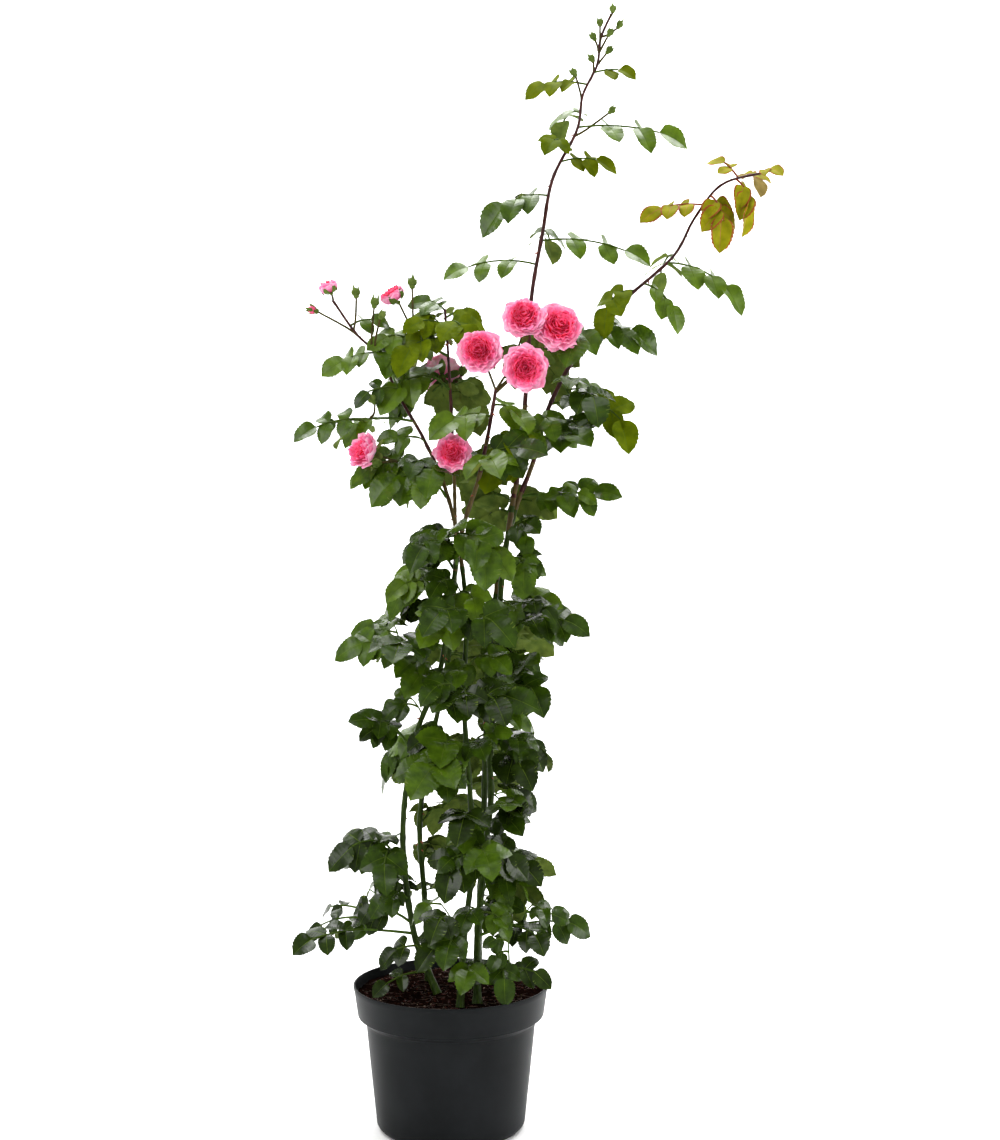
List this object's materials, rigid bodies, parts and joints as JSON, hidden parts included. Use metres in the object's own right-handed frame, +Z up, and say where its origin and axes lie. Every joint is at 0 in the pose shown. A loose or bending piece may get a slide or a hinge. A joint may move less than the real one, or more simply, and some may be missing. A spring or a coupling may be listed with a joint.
{
  "type": "potted climbing rose bush",
  "caption": "Climbing rose in a round nursery pot: canes rise from the compost and fork into long arching boughs with compound leaves, double blooms and buds.",
  "frame": {"origin": "centre of the pot's flat underside", "axes": "+Z up along the plant, +X towards the side of the long arching bough, -Y towards the viewer who faces the open blooms"},
  "size_m": [0.6417, 0.3427, 1.497],
  "materials": {
    "pot": "moulded, satin, anthracite",
    "compost": "crumbly, fibrous, dark brown",
    "cane": "smooth green bark",
    "bough": "smooth red-brown young bark",
    "leaf": "semi-gloss green leaf",
    "bloom": "soft matt petal, pink with a coral heart"
  },
  "bodies": {
    "root": {"pot": "pot", "compost": "compost", "cane_back": "cane", "cane_front": "cane", "cane_left": "cane", "cane_rear": "cane", "cane_right": "cane", "bough_back": "bough", "bough_front": "bough", "bough_left": "bough", "bough_rear": "bough", "bough_right": "bough", "arm_left": "leaf", "arm_right": "leaf", "bloom_back": "leaf", "bloom_back_right": "leaf", "bloom_cluster": "leaf", "bloom_front": "leaf", "bloom_left": "leaf", "bloom_upper_left": "leaf", "branch_right": "leaf", "broad_front": "leaf", "broad_left": "leaf", "bud_spray_left": "leaf", "chest_right": "leaf", "collar_left": "leaf", "fan_right": "leaf", "far_back_1": "leaf", "far_back_2": "leaf", "far_back_3": "leaf", "far_back_4": "leaf", "far_rear_1": "leaf", "far_rear_2": "leaf", "far_rear_3": "leaf", "far_rear_4": "leaf", "far_rear_5": "leaf", "knee_right": "leaf", "low_front": "leaf", "low_left": "leaf", "low_left_spray": "leaf", "low_right_spray": "leaf", "low_rim": "leaf", "lower_front": "leaf", "lower_left": "leaf", "lower_right": "leaf", "middle_front": "leaf", "middle_right": "leaf", "neck_front": "leaf", "neck_right": "leaf", "shin_front": "leaf", "shin_left": "leaf", "shin_right": "leaf", "shoulder_front": "leaf", "shoulder_left": "leaf", "tip_rear": "leaf", "tip_right": "leaf", "tip_top": "leaf", "tuft_left": "leaf", "tuft_right": "leaf", "waist_front": "leaf"}
  },
  "joints": []
}
